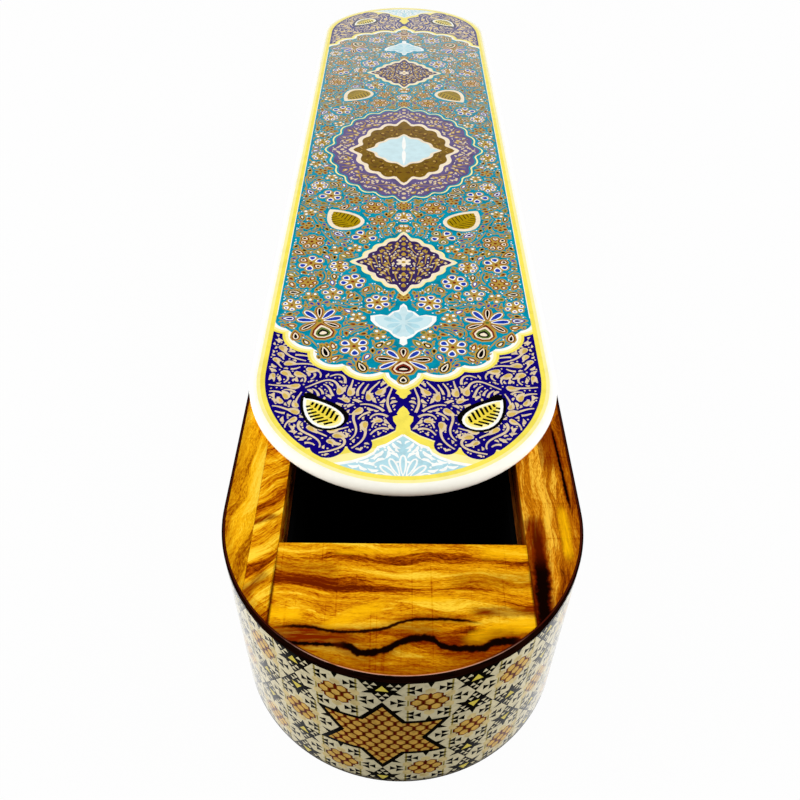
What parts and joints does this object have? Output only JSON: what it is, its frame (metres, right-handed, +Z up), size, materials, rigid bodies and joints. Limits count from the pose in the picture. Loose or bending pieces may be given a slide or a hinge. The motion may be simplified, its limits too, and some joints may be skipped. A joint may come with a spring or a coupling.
{
  "type": "pen box with sliding lid",
  "caption": "Long round-ended wooden pen box with a marquetry wall, a velvet-lined tray and a painted ivory-coloured lid that slides along its length.",
  "frame": {"origin": "centre of the flat underside of the box", "axes": "+X to the right and +Y to the rear along the length, seen from the open front end, +Z up"},
  "size_m": [0.06, 0.2819, 0.0395],
  "materials": {
    "olive_wood": "golden figured wood with dark streaks, clear gloss lacquer",
    "base_wood": "plain brown wood, waxed",
    "khatam_marquetry": "geometric inlay of bone, dark wood, ochre wood and brass under clear lacquer",
    "dark_edging": "near-black brown wood strip, gloss lacquer",
    "black_velvet": "black velvet pile",
    "ivory_lacquer": "ivory-coloured plate with painted illumination under gloss varnish"
  },
  "bodies": {
    "box": {"base_board": "base_wood", "front_end_block": "olive_wood", "rear_end_block": "olive_wood", "left_outer_rail": "olive_wood", "right_outer_rail": "olive_wood", "left_inner_rail": "olive_wood", "right_inner_rail": "olive_wood", "left_guide_lip": "olive_wood", "right_guide_lip": "olive_wood", "front_left_packer": "base_wood", "front_right_packer": "base_wood", "rear_left_packer": "base_wood", "rear_right_packer": "base_wood", "khatam_front": "khatam_marquetry", "khatam_rear": "khatam_marquetry", "khatam_left": "khatam_marquetry", "khatam_right": "khatam_marquetry", "rim_edging_front": "dark_edging", "rim_edging_rear": "dark_edging", "rim_edging_left": "dark_edging", "rim_edging_right": "dark_edging", "foot_edging_front": "dark_edging", "foot_edging_rear": "dark_edging", "foot_edging_left": "dark_edging", "foot_edging_right": "dark_edging", "velvet_floor": "black_velvet", "velvet_left_wall": "black_velvet", "velvet_right_wall": "black_velvet", "velvet_front_wall": "black_velvet", "velvet_rear_wall": "black_velvet"},
    "lid": {"lid_plate": "ivory_lacquer", "runner_block": "base_wood", "runner_tongue": "base_wood"}
  },
  "joints": [
    {"name": "lid_slide", "type": "slide", "parent": "box", "child": "lid", "axis": [0, 1, 0], "range_m": [-0.032, 0.088]}
  ]
}
